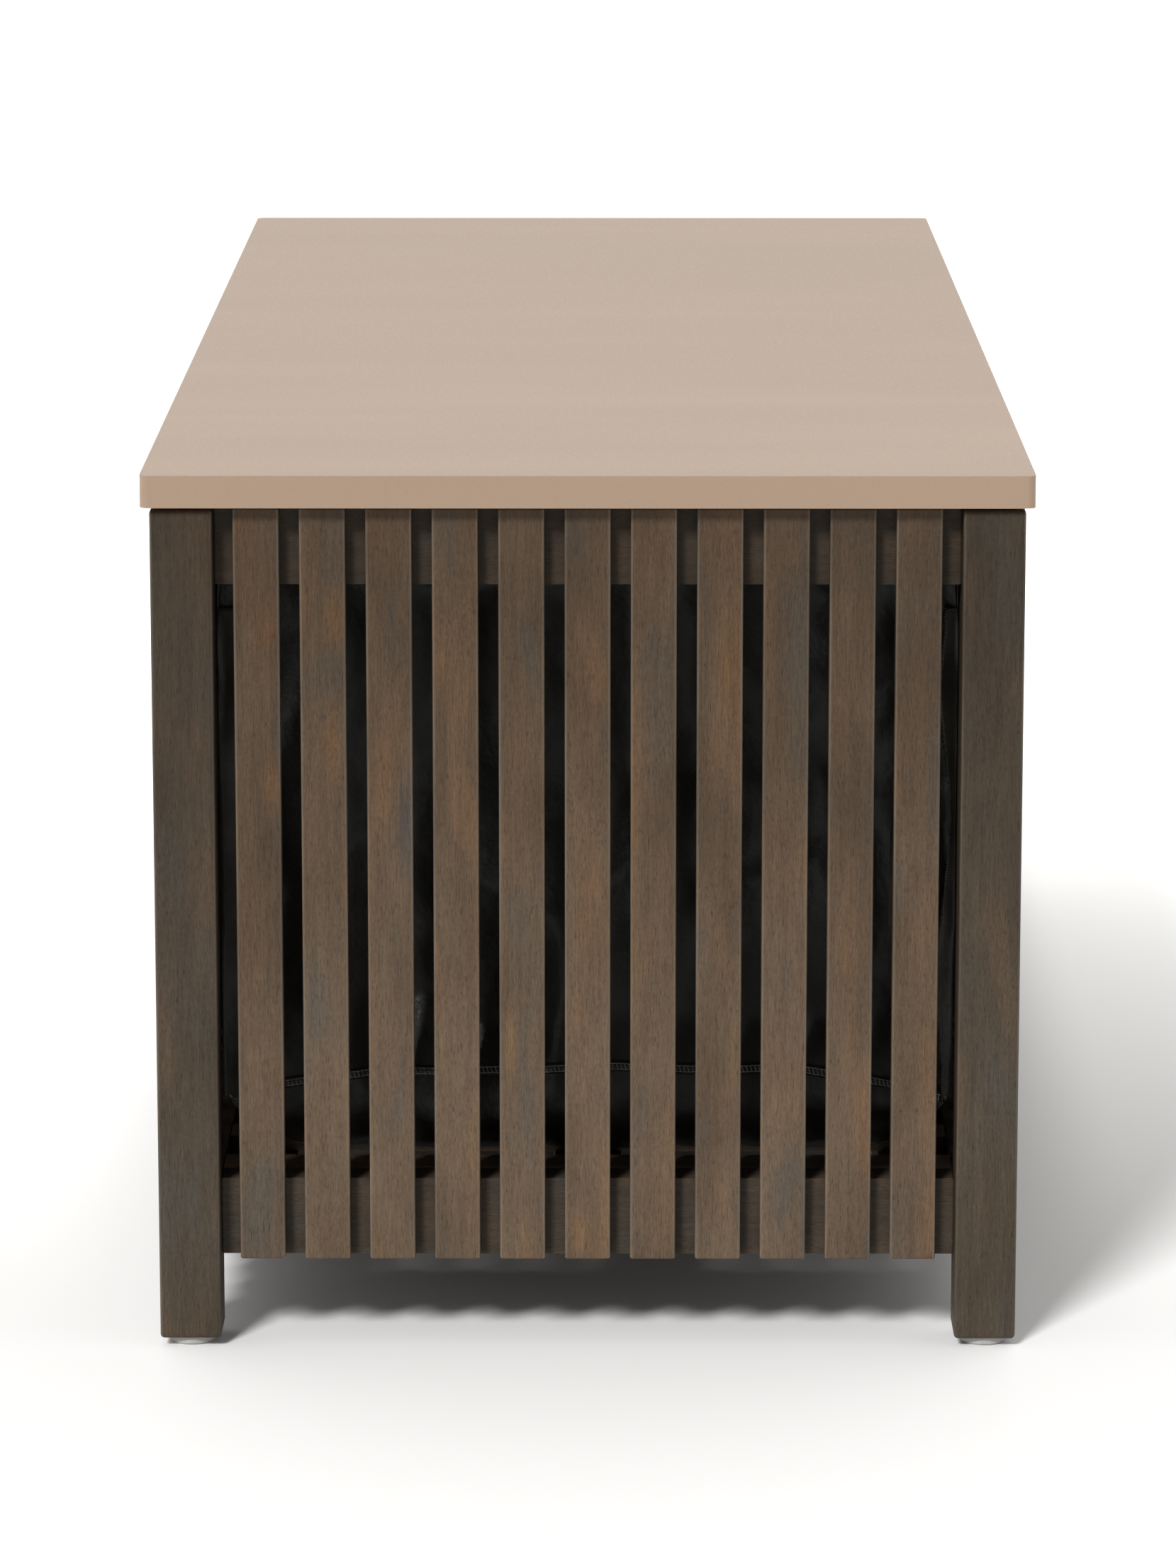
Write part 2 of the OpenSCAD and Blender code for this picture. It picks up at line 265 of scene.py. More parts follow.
# Painted highlight along the arrises, standing in for the light that their round-overs catch: its colour, and
# how far in from a member's sides.
ARRIS_HIGHLIGHT = (0.19, 0.165, 0.13)
ARRIS_HIGHLIGHT_FROM = 0.0021
ARRIS_HIGHLIGHT_FULL = 0.0005
ARRIS_HIGHLIGHT_SHARE = 0.34
# How far apart members take their figure, how much their grain leans and how much it wanders.
FIGURE_SPREAD = (7.0, 7.0, 7.0)
GRAIN_LEAN = 0.1
GRAIN_WANDER = 0.02


def member_edge(tree, place, axis, centre, half, pitch=None):
    """Distance in from the side of a member. Members sit at plus and minus centre, or in a row with
    this pitch in which one member's middle is at centre."""
    coordinate = axes(tree, place)[axis]
    if pitch is None:
        off = math_node(tree, "SUBTRACT", math_node(tree, "ABSOLUTE", coordinate), centre)
    else:
        off = math_node(tree, "PINGPONG", math_node(tree, "SUBTRACT", coordinate, centre), pitch / 2)
    return math_node(tree, "SUBTRACT", half, math_node(tree, "ABSOLUTE", off))


def wood(name, grain, cell, origin, tones, lift=1.0, arris=None, accents=()):
    """Stained fine-grained hardwood. Each member falls in one cell of a grid, which picks its own stretch of
    the figure, its own tilt of the grain and its own tone. The arris is two member edges, along which a
    painted highlight stands in for the light that rounded arrises catch. Accents are warmer or cooler spots
    on the right end. The colour is also darker near the lid and lighter near the floor: painted shade and
    painted light."""
    material, tree, shader = new_material(name)
    place = object_place(tree)
    in_cell = vector_node(tree, "DIVIDE", vector_node(tree, "SUBTRACT", place, origin), cell)
    index = vector_node(tree, "FLOOR", in_cell)
    random_value = add(tree, "TexWhiteNoise", {"Vector": index}, noise_dimensions="3D")
    random_colour = add(tree, "TexWhiteNoise", {"Vector": index}, out=1, noise_dimensions="3D")
    shift = vector_node(tree, "MULTIPLY", random_colour, FIGURE_SPREAD)

    parts = axes(tree, vector_node(tree, "ADD", place, shift))
    u, v, w = (parts[axis] for axis in GRAIN[grain])
    lean = times(tree, math_node(tree, "SUBTRACT", random_value, 0.5), GRAIN_LEAN)
    wander = noise(tree, add(tree, "CombineXYZ", {2: w}), 6.0, 1.0)
    u = math_node(tree, "ADD", u, times(tree, w, lean))
    u = math_node(tree, "ADD", u, times(tree, wander, GRAIN_WANDER))

    def stretched(across, along):
        """Noise coordinates in cycles per metre, across and along the grain."""
        return add(tree, "CombineXYZ", {
            0: times(tree, u, across),
            1: times(tree, v, across),
            2: times(tree, w, along),
        })

    patches = noise(tree, stretched(20.0, 6.5), 1.0, 2.0, 0.5, 0.5)
    warmth = noise(tree, stretched(32.0, 8.5), 1.0, 1.0, 0.5, 0.3)
    bands = noise(tree, stretched(210.0, 7.0), 1.0, 2.0, 0.5, 0.5)
    fibres = noise(tree, stretched(1300.0, 45.0), 1.0, 2.0, 0.6)
    flecks = noise(tree, stretched(620.0, 330.0), 1.0, 2.0, 0.6)
    pores = noise(tree, stretched(1900.0, 150.0), 1.0, 1.0, 0.4)

    dark, mid, light, warm, cool = tones
    colour = ramp(tree, patches, [(0.3, dark), (0.5, mid), (0.7, light)])
    colour = mix_colour(tree, step(tree, warmth, 0.5, 0.76, 0.0, 0.7), colour, opaque(warm))
    colour = mix_colour(tree, step(tree, warmth, 0.48, 0.26, 0.0, 0.7), colour, opaque(cool))
    for accent_y, accent_z, half_width, half_height, tone in accents:
        off = vector_node(tree, "SUBTRACT", place, (END_X, accent_y, accent_z))
        off = vector_node(tree, "DIVIDE", off, (1.0, half_width, half_height))
        far = add(tree, "VectorMath", {0: off}, out=1, operation="LENGTH")
        far = math_node(tree, "ADD", far, times(tree, bands, 0.5))
        colour = mix_colour(tree, step(tree, far, 1.25, 0.3, 0.0, 0.75), colour, opaque(tone))

    shade = times(
        tree,
        step(tree, bands, 0.3, 0.7, 0.92, 1.07),
        step(tree, fibres, 0.3, 0.7, 0.84, 1.15),
        step(tree, flecks, 0.25, 0.75, 0.9, 1.1),
        step(tree, pores, 0.58, 0.72, 1.02, 0.6),
        step(tree, random_value, 0.0, 1.0, 0.92 * lift, 1.08 * lift),
    )
    # Painted shade near the lid and painted light near the floor, scaled into the colour by height.
    height = axes(tree, place)["Z"]
    painted_light_fades = [step(tree, height, PAINTED_LIGHT_TOP, PAINTED_LIGHT_FOOT, top, foot) for top, foot in PAINTED_LIGHT_FADE]
    colour = scale_colour(tree, colour, [times(tree, shade, light_fade) for light_fade in painted_light_fades])
    # Painted highlight: the arrises are lightened towards a pale grey, for the light that their round-overs
    # catch.
    if arris is not None:
        near = [step(tree, member_edge(tree, place, *edge), ARRIS_HIGHLIGHT_FROM, ARRIS_HIGHLIGHT_FULL) for edge in arris]
        highlight_break = step(tree, patches, 0.3, 0.6, 0.5, 1.0)
        colour = mix_colour(tree, times(tree, *near, ARRIS_HIGHLIGHT_SHARE, highlight_break), colour, opaque(ARRIS_HIGHLIGHT))

    put(tree, shader.inputs["Base Color"], colour)
    put(tree, shader.inputs["Roughness"], step(tree, fibres, 0.3, 0.7, 0.5, 0.62))
    shader.inputs["Specular IOR Level"].default_value = 0.2
    relief = math_node(tree, "SUBTRACT", times(tree, fibres, 0.4), step(tree, pores, 0.6, 0.72, 0.0, 0.5))
    put(tree, shader.inputs["Normal"], bump(tree, relief, 0.22, 0.0003))
    return material


# ---------------------------------------------------------------- lid

TAUPE_DARK = (0.276, 0.192, 0.132)
TAUPE_LIGHT = (0.297, 0.207, 0.141)
SPECK = (0.2, 0.13, 0.085)


def lacquer():
    """Taupe satin lacquer with a fine orange peel and a few specks under it."""
    material, tree, shader = new_material("lid_lacquer")
    place = object_place(tree)
    cloud = noise_along(tree, place, (9.0, 1.5, 3.0), 3.0, 0.5)
    peel = noise(tree, place, 420.0, 2.0, 0.5)
    swell = noise(tree, place, 34.0, 1.0, 0.5)
    specks = noise(tree, place, 700.0, 0.0, 0.5)
    colour = ramp(tree, cloud, [(0.3, TAUPE_DARK), (0.7, TAUPE_LIGHT)])
    colour = mix_colour(tree, step(tree, specks, 0.73, 0.77, 0.0, 0.35), colour, opaque(SPECK))
    # Painted light: the lid is lighter towards its +X end and darker towards the far end.
    painted_light_ramp = step(tree, axes(tree, place)["X"], -0.9, 0.7, 0.95, 1.03)
    colour = scale_colour(tree, colour, [painted_light_ramp] * 3)
    put(tree, shader.inputs["Base Color"], colour)
    put(tree, shader.inputs["Roughness"], step(tree, peel, 0.3, 0.7, 0.4, 0.46))
    height = math_node(tree, "ADD", times(tree, swell, 1.6), peel)
    put(tree, shader.inputs["Normal"], bump(tree, height, 0.12, 0.0004))
    return material


# ---------------------------------------------------------------- metal, plastic and rubber


def metal(name, colour, rough, brushed=0.0, metallic=1.0):
    """Metal or painted metal, brushed along X, with duller worn patches."""
    material, tree, shader = new_material(name)
    place = object_place(tree)
    lines = noise_along(tree, place, (60.0, 1800.0, 1800.0), 3.0, 0.6)
    wear = noise(tree, place, 220.0, 3.0, 0.6)
    tint = mix_colour(tree, step(tree, wear, 0.35, 0.75), opaque(colour), opaque(colour, 0.72))
    put(tree, shader.inputs["Base Color"], tint)
    put(tree, shader.inputs["Metallic"], metallic)
    put(tree, shader.inputs["Roughness"], step(tree, wear, 0.3, 0.7, rough * 0.85, rough * 1.2))
    put(tree, shader.inputs["Normal"], bump(tree, lines, 0.05 + 0.3 * brushed, 0.0001))
    return material


def moulded(name, colour, rough):
    """Plastic or rubber with a fine grit."""
    material, tree, shader = new_material(name)
    place = object_place(tree)
    cloud = noise(tree, place, 60.0, 3.0, 0.6)
    grit = noise(tree, place, 1800.0, 2.0, 0.5)
    tint = mix_colour(tree, step(tree, cloud, 0.35, 0.75), opaque(colour), opaque(colour, 0.8))
    put(tree, shader.inputs["Base Color"], tint)
    put(tree, shader.inputs["Roughness"], step(tree, cloud, 0.3, 0.7, rough - 0.05, rough + 0.08))
    put(tree, shader.inputs["Normal"], bump(tree, grit, 0.15, 0.0001))
    return material


def dress(names, material):
    """Gives some CAD nodes one material."""
    for name in names:
        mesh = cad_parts[name].data
        mesh.materials.clear()
        mesh.materials.append(material)


WELD_WITHIN = 0.00002
ARRIS_ANGLE = math.radians(40.0)


def soften(names, width, segments=3):
    """Rounds the arrises of plain CAD solids to this radius."""
    for name in names:
        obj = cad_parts[name]
        weld = obj.modifiers.new("weld", "WELD")
        weld.merge_threshold = WELD_WITHIN
        bevel = obj.modifiers.new("arris", "BEVEL")
        bevel.width = width
        bevel.segments = segments
        bevel.limit_method = "ANGLE"
        bevel.angle_limit = ARRIS_ANGLE
        bevel.use_clamp_overlap = True
        normals = obj.modifiers.new("normals", "WEIGHTED_NORMAL")
        normals.keep_sharp = False


# ---------------------------------------------------------------- stage and light

# The key is a sun from the front left. Its direction of travel, strength and angular size:
SUN_TRAVEL = (-1.0, 0.5, -0.95)
SUN_STRENGTH = 3.3
SUN_ANGLE = math.radians(14.0)
# The studio is bright behind the chest and dim on the side of its right-hand end.
SKY_BACK = (1.15, 1.145, 1.13)
SKY_FRONT = (0.3, 0.296, 0.29)
FLOOR = (0.8, 0.797, 0.79)
# Painted light: the floor glows towards the far end, from one X to another, in place of lamps on the
# backdrop.
GLOW = 0.54
GLOW_NEAR_X = 0.65
GLOW_FAR_X = -1.0
GLOW_COLOUR = (1.0, 0.995, 0.98)
FLOOR_HALF = 60.0


def floor_paint():
    """Matt pale paint, with painted light where it glows away from the chest and painted shade where it is
    darker deep under it.
    """
    material, tree, shader = new_material("floor_paint")
    place = object_place(tree)
    tone = noise(tree, place, 1.5, 2.0)
    colour = mix_colour(tree, tone, opaque(FLOOR), opaque(FLOOR, 0.99))
    shader.inputs["Roughness"].default_value = 0.9
    shader.inputs["Specular IOR Level"].default_value = 0.1
    spot = axes(tree, place)
    over_x = math_node(tree, "SUBTRACT", math_node(tree, "ABSOLUTE", spot["X"]), cad_high.x)
    over_y = math_node(tree, "SUBTRACT", math_node(tree, "ABSOLUTE", spot["Y"]), cad_high.y)
    clear_of_chest = step(tree, math_node(tree, "MAXIMUM", over_x, over_y), 0.0, 0.12)
    # Painted shade: deep under the chest the floor's colour is darkened.
    painted_shade_under = times(tree, step(tree, over_x, -0.24, -0.42), step(tree, over_y, 0.0, -0.1))
    put(tree, shader.inputs["Base Color"], mix_colour(tree, painted_shade_under, colour, opaque(FLOOR, 0.35)))
    # Painted light: emission that grows towards the far end, kept off the chest.
    glow = add(tree, "MapRange", {0: spot["X"], 1: GLOW_NEAR_X, 2: GLOW_FAR_X, 3: 0.0, 4: GLOW})
    put(tree, shader.inputs["Emission Strength"], times(tree, glow, clear_of_chest))
    shader.inputs["Emission Color"].default_value = opaque(GLOW_COLOUR)
    return material


def make_stage():
    floor = bpy.data.meshes.new("floor")
    corners = [(x * FLOOR_HALF, y * FLOOR_HALF, 0) for x, y in ((-1, -1), (1, -1), (1, 1), (-1, 1))]
    floor.from_pydata(corners, [], [(0, 1, 2, 3)])
    obj = bpy.data.objects.new("floor", floor)
    bpy.context.collection.objects.link(obj)
    floor.materials.append(floor_paint())

    sun = bpy.data.lights.new("sun", "SUN")
    sun.energy = SUN_STRENGTH
    sun.angle = SUN_ANGLE
    lamp = bpy.data.objects.new("sun", sun)
    lamp.rotation_mode = "QUATERNION"
    lamp.rotation_quaternion = Vector(SUN_TRAVEL).to_track_quat("-Z", "Y")
    bpy.context.collection.objects.link(lamp)

    world = bpy.data.worlds.new("studio")
    world.use_nodes = True
    tree = world.node_tree
    way = axes(tree, add(tree, "TexCoord", out=0))
    frontness = step(tree, way["X"], -0.5, 0.7)
    sky = mix_colour(tree, frontness, opaque(SKY_BACK), opaque(SKY_FRONT))
    put(tree, tree.nodes["Background"].inputs["Color"], sky)
    bpy.context.scene.world = world
    bpy.context.scene.view_settings.view_transform = "Standard"


# ---------------------------------------------------------------- CAD finishes

LENGTH = round(cad_high.x - cad_low.x, 4)
DEPTH = round(cad_high.y - cad_low.y, 4)
LONG_WALL_SLATS = 29
# Grid cells are this long where they needn't part any members, and start half of it below zero.
FAR = 10.0
START = -FAR / 2
# The base's length holds this many cells along X, about one for each of its slats.
BASE_CELLS = 16.4
# Cells that part the bearers along Y, and the bottom rails from the top rails along Z.
BEARER_CELL = 0.17
RAIL_CELL = 0.27


def finish_walls():
    """The slats, which need each member's place for its own figure and its painted arris highlights."""
    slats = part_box("front_slats")
    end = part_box("right_slat_01")
    half = (end[1].y - end[0].y) / 2
    thick = end[1].x - end[0].x
    pitch_x = (slats[1].x - slats[0].x - 2 * half) / (LONG_WALL_SLATS - 1)
    pitch_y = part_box("right_slat_02")[0].y - end[0].y
    start_x = slats[0].x + half - pitch_x / 2
    start_y = end[0].y + half - pitch_y / 2
    end_edges = (
        (1, end[0].y + half, half, pitch_y),
        (0, end[0].x + thick / 2, thick / 2),
    )
    long_edges = (
        (0, slats[0].x + half, half, pitch_x),
        (1, -slats[0].y - thick / 2, thick / 2),
    )
    cell_x = (pitch_x, DEPTH / 2, FAR)
    cell_y = (LENGTH / 2, pitch_y, FAR)
    start = (start_x, -0.75 * DEPTH, START)
    dress(WALL_X, wood("slat_wood_x", "z", cell_x, start, BROWN, arris=long_edges))
    start = (-0.75 * LENGTH, start_y, START)
    dress(WALL_Y, wood("slat_wood_y", "z", cell_y, start, BROWN, arris=end_edges, accents=END_SPOTS))


def finish_frame():
    """The posts, rails, bearers, base slats and dowels."""
    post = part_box("front_left_post")
    half = (post[1].x - post[0].x) / 2
    edges = ((0, -post[0].x - half, half), (1, -post[0].y - half, half))
    cell = (LENGTH / 2, DEPTH / 2, FAR)
    # The posts' arrises carry the same painted highlight.
    dress(POSTS, wood("post_wood", "z", cell, (-LENGTH / 2, -DEPTH / 2, START), GREY, 1.04, edges))
    cell = (FAR, DEPTH / 2, RAIL_CELL)
    dress(RAILS_X, wood("rail_wood_x", "x", cell, (START, -0.75 * DEPTH, 0), GREY))
    # The end rails are made 8% darker: painted shade, for the shade that the lid and the slats cast on them.
    cell = (LENGTH / 2, FAR, RAIL_CELL)
    dress(RAILS_Y, wood("rail_wood_y", "y", cell, (-0.75 * LENGTH, START, 0), GREY, 0.92))
    cell = (FAR, BEARER_CELL, FAR)
    dress(BEARERS, wood("bearer_wood", "x", cell, (START, -1.5 * BEARER_CELL, START), GREY))
    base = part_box("base_slats")
    cell = ((base[1].x - base[0].x) / BASE_CELLS, FAR, FAR)
    dress(["base_slats"], wood("base_wood", "y", cell, (-LENGTH / 2, START, START), BROWN))
    dress(["rail_dowels"], wood("dowel_wood", "x", (FAR, FAR, FAR), (START, START, START), BROWN, 3.0))


def finish_cad():
    finish_walls()
    finish_frame()
    dress(["lid_panel"], lacquer())
    dress(STEEL, metal("hinge_steel", (0.62, 0.61, 0.58), 0.35, brushed=1.0))
    dress(SCREWS, metal("screw_steel", (0.6, 0.58, 0.52), 0.4))
    dress(BRACKETS, metal("bracket_paint", (0.02, 0.02, 0.021), 0.4, metallic=0.0))
    dress(TUBES, metal("tube_paint", (0.012, 0.012, 0.013), 0.25, metallic=0.0))
    dress(RODS, metal("rod_chrome", (0.75, 0.75, 0.76), 0.14))
    dress(["liner_studs"], metal("stud_paint", (0.03, 0.028, 0.026), 0.35, metallic=0.3))
    dress(["foot_glides"], moulded("glide_plastic", (0.42, 0.41, 0.39), 0.5))
    dress(["lid_bumpers"], moulded("bumper_rubber", (0.02, 0.02, 0.02), 0.7))
    soften(POSTS, 0.0028)
    soften(WALL_X + WALL_Y, 0.0013)
    soften(RAILS_X + RAILS_Y + BEARERS + ["base_slats"], 0.0015)
    soften(["lid_panel"], 0.0032, segments=5)
    soften(["foot_glides", "lid_bumpers"], 0.0006)
    soften(BRACKETS + TUBES + RODS, 0.0004)


# ---------------------------------------------------------------- liner

# The bag is cut as four walls and a wider floor panel. The walls end at a seam above the base, and
# the floor panel slopes in from the seam until it lies on the base slats.
BAG_LOW, BAG_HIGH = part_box("liner")
RAIL_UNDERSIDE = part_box("right_top_rail")[0].z
POST_INNER_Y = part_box("back_right_post")[0].y
# The cloth stays this far inside the CAD liner's outer faces, and this far above its underside.
WALL_GAP = 0.0006
FLOOR_GAP = 0.0008
BAG_X = BAG_HIGH.x - WALL_GAP
BAG_Y = BAG_HIGH.y - WALL_GAP
BAG_TOP = BAG_HIGH.z
BAG_REST = BAG_LOW.z + FLOOR_GAP
CLOTH_THICK = 0.0009
# The seam's height at the middle of a wall, how much lower it is at the corners, and how much it
# wanders. The floor panel reaches the base this far in from the seam.
SEAM_Z = 0.199
SEAM_DIP = 0.016
SEAM_WANDER = 0.004
FLOOR_RUN = 0.096
# The cloth's grid.
CELL = 0.015
COLUMNS_X = round(2 * BAG_X / CELL)
COLUMNS_Y = round(2 * BAG_Y / CELL)
WALL_ROWS = round((BAG_TOP - SEAM_Z) / CELL)
# The walls start uneven below this share of their height, and scalloped between the hem's studs.
BULGE = 0.006
BULGE_TO = 0.8
SCALLOP = 0.0025
STUD_PITCH = 0.16
# The cloth is larger than the space that it hangs in by this share.
SLACK = 0.045
SIM_FRAMES = 34
# How far a settled wall stands off its line: at a corner, and from the end of the corner's run on.
STAND_CORNER = 0.003
STAND_WALL = 0.017
CORNER_RUN = 0.07
# Folds pressed into the walls, kept off the corners and growing from nothing to full over a margin.
FOLD_SIZE = 0.11
FOLD_DEPTH = 0.024
FOLD_OFF_CORNER = 0.02
FOLD_MARGIN = 0.03
# A point this near a wall's line belongs to the wall, and this near the rails it stays inside them.
NEAR_WALL = 0.02
NEAR_RAIL = 0.02


def seam_height(x, y):
    """The seam runs lower towards the corners and wanders a little."""
    across = y / BAG_Y if abs(x) > BAG_X - 0.001 else x / BAG_X
    wander = SEAM_WANDER * field.noise(Vector((x * 5.0, y * 9.0, 0.7)))
    return SEAM_Z - SEAM_DIP * abs(across) ** 3 + wander


def bag_shell():
    """The bag before it sags. Returns its points, its faces and its rows from the seam up."""
    points = []
    faces = []
    panel = {}
    for i in range(COLUMNS_X + 1):
        for j in range(COLUMNS_Y + 1):
            x = BAG_X * (2.0 * i / COLUMNS_X - 1.0)
            y = BAG_Y * (2.0 * j / COLUMNS_Y - 1.0)
            inset = min(BAG_X - abs(x), BAG_Y - abs(y))
            rise = 1.0 - min(inset / FLOOR_RUN, 1.0)
            panel[i, j] = len(points)
            points.append(Vector((x, y, BAG_REST + rise * (seam_height(x, y) - BAG_REST))))
    for i in range(COLUMNS_X):
        for j in range(COLUMNS_Y):
            faces.append((panel[i, j], panel[i, j + 1], panel[i + 1, j + 1], panel[i + 1, j]))
    ring = [panel[i, 0] for i in range(COLUMNS_X)]
    ring += [panel[COLUMNS_X, j] for j in range(COLUMNS_Y)]
    ring += [panel[i, COLUMNS_Y] for i in range(COLUMNS_X, 0, -1)]
    ring += [panel[0, j] for j in range(COLUMNS_Y, 0, -1)]
    rows = [ring]
    for k in range(1, WALL_ROWS + 1):
        share = k / WALL_ROWS
        row = []
        for index in ring:
            seam = points[index]
            z = seam.z + share * (BAG_TOP - seam.z)
            bulge = 0.0
            if share <= BULGE_TO:
                uneven = field.noise(Vector((seam.x * 11, seam.y * 11, z * 9)))
                bulge = BULGE * math.sin(math.pi * share) * uneven
            x, y = seam.x, seam.y
            if abs(y) > BAG_Y - 0.001:
                scallop = SCALLOP * math.cos(math.pi * x / STUD_PITCH) ** 2 * share ** 6
                y -= math.copysign(scallop + bulge, y)
            else:
                x -= math.copysign(bulge, x)
            row.append(len(points))
            points.append(Vector((x, y, z)))
        rows.append(row)
    count = len(ring)
    for below, above in zip(rows, rows[1:]):
        for a in range(count):
            b = (a + 1) % count
            faces.append((below[a], below[b], above[b], above[a]))
    return points, faces, rows


def mesh_object(name, points, faces):
    mesh = bpy.data.meshes.new(name)
    mesh.from_pydata(points, [], faces)
    mesh.update()
    obj = bpy.data.objects.new(name, mesh)
    bpy.context.collection.objects.link(obj)
    return obj


def sag(obj, points):
    """Lets the bag hang from its top and rest on the base, and returns where its points end."""
    held = obj.vertex_groups.new(name="held")
    for index, point in enumerate(points):
        inset = min(BAG_X - abs(point.x), BAG_Y - abs(point.y))
        if point.z > RAIL_UNDERSIDE - 0.002 or inset > FLOOR_RUN + 0.002:
            held.add([index], 1.0, "REPLACE")
    cloth = obj.modifiers.new("sag", "CLOTH")
    settings = cloth.settings
    settings.quality = 5
    settings.mass = 0.25
    settings.air_damping = 2.5
    settings.tension_stiffness = 14
    settings.compression_stiffness = 14
    settings.shear_stiffness = 4
    settings.bending_stiffness = 0.25
    settings.vertex_group_mass = "held"
    settings.shrink_min = -SLACK
    cloth.point_cache.frame_start = 1
    cloth.point_cache.frame_end = SIM_FRAMES
    scene = bpy.context.scene
    for moment in range(1, SIM_FRAMES + 1):
        scene.frame_set(moment)
    settled = obj.evaluated_get(bpy.context.evaluated_depsgraph_get())
    places = [v.co.copy() for v in settled.data.vertices]
    obj.modifiers.remove(cloth)
    scene.frame_set(1)
    return places


def keep_clear(point, start):
    """Holds a settled point over the base and near its wall's line, and inside it at the rails."""
    point.z = max(point.z, BAG_REST)
    for axis, wall in ((0, BAG_X), (1, BAG_Y)):
        if abs(start[axis]) > wall - NEAR_WALL:
            side = math.copysign(1.0, start[axis])
            stand = side * point[axis] - wall
            from_corner = (BAG_Y - abs(start.y)) if axis == 0 else (BAG_X - abs(start.x))
            reach = STAND_CORNER + (STAND_WALL - STAND_CORNER) * min(from_corner / CORNER_RUN, 1.0)
            stand = reach * math.tanh(stand / reach)
            if start.z > RAIL_UNDERSIDE - NEAR_RAIL:
                stand = min(stand, 0.0)
            point[axis] = side * (wall + stand)
    return point


def crumple(obj, points):
    """Presses shallow folds into the walls, clear of the hem, the seam and the corners."""
    loose = obj.vertex_groups.new(name="loose")
    for index, point in enumerate(points):
        from_end = BAG_X - abs(point.x)
        from_side = BAG_Y - abs(point.y)
        from_corner = max(from_end, from_side)
        room = min(point.z - SEAM_Z, RAIL_UNDERSIDE - point.z, from_corner - FOLD_OFF_CORNER)
        if min(from_end, from_side) < NEAR_WALL and room > 0.0:
            loose.add([index], min(room / FOLD_MARGIN, 1.0), "REPLACE")
    creases = bpy.data.textures.new("folds", "VORONOI")
    creases.noise_scale = FOLD_SIZE
    press = obj.modifiers.new("folds", "DISPLACE")
    press.texture = creases
    press.vertex_group = loose.name
    press.strength = -FOLD_DEPTH
    press.mid_level = 0.0


def bake(obj):
    """Applies the modifiers."""
    settled = obj.evaluated_get(bpy.context.evaluated_depsgraph_get())
    mesh = bpy.data.meshes.new_from_object(settled)
    obj.modifiers.clear()
    obj.data = mesh
    for face in mesh.polygons:
        face.use_smooth = True


def along(corners, pitch, closed):
    """Evenly spaced points along a line of corners."""
    corners = corners + corners[:1] if closed else corners
    lengths = [(b - a).length for a, b in zip(corners, corners[1:])]
    count = max(2, round(sum(lengths) / pitch))
    stride = sum(lengths) / count
    spots = []
    done = 0.0
    for a, b, length in zip(corners, corners[1:], lengths):
        while len(spots) * stride <= done + length and len(spots) < count:
            spots.append(a.lerp(b, (len(spots) * stride - done) / length))
        done += length
    if not closed:
        spots.append(corners[-1])
    return spots


def thread(points, faces, path, radius, outward, closed=False):
    """Adds a four-sided thread along a path to a mesh's lists."""
    base = len(points)
    count = len(path)
    for k, place in enumerate(path):
        before = path[k - 1] if k or closed else path[0]
        after = path[(k + 1) % count] if k + 1 < count or closed else path[-1]
        way = (after - before).normalized()
        up = outward[k] if isinstance(outward, list) else outward
        side = way.cross(up).normalized() * radius
        rise = side.cross(way).normalized() * radius
        points += [place + side, place + rise, place - side, place - rise]
    for k in range(count if closed else count - 1):
        here = base + 4 * k
        there = base + 4 * ((k + 1) % count)
        for q in range(4):
            r = (q + 1) % 4
            faces.append((here + q, here + r, there + r, there + q))
    if not closed:
        last = base + 4 * (count - 1)
        faces.append((base, base + 3, base + 2, base + 1))
        faces.append((last, last + 1, last + 2, last + 3))


def ribbon(points, faces, sections, closed):
    """Adds a solid strip through sections of equal length to a mesh's lists."""
    base = len(points)
    size = len(sections[0])
    for section in sections:
        points += section
    count = len(sections)
    for k in range(count if closed else count - 1):
        here = base + size * k
        there = base + size * ((k + 1) % count)
        for q in range(size):
            r = (q + 1) % size
            faces.append((here + q, here + r, there + r, there + q))
    if not closed:
        faces.append(tuple(base + q for q in reversed(range(size))))
        faces.append(tuple(base + size * (count - 1) + q for q in range(size)))


def wall_side(point):
    """The way out of the bag at a point of its walls."""
    over_x = abs(point.x) - BAG_X
    over_y = abs(point.y) - BAG_Y
    if abs(over_x - over_y) < 0.004:
        return Vector((math.copysign(1.0, point.x), math.copysign(1.0, point.y), 0.0)).normalized()
    if over_x > over_y:
        return Vector((math.copysign(1.0, point.x), 0.0, 0.0))
    return Vector((0.0, math.copysign(1.0, point.y), 0.0))


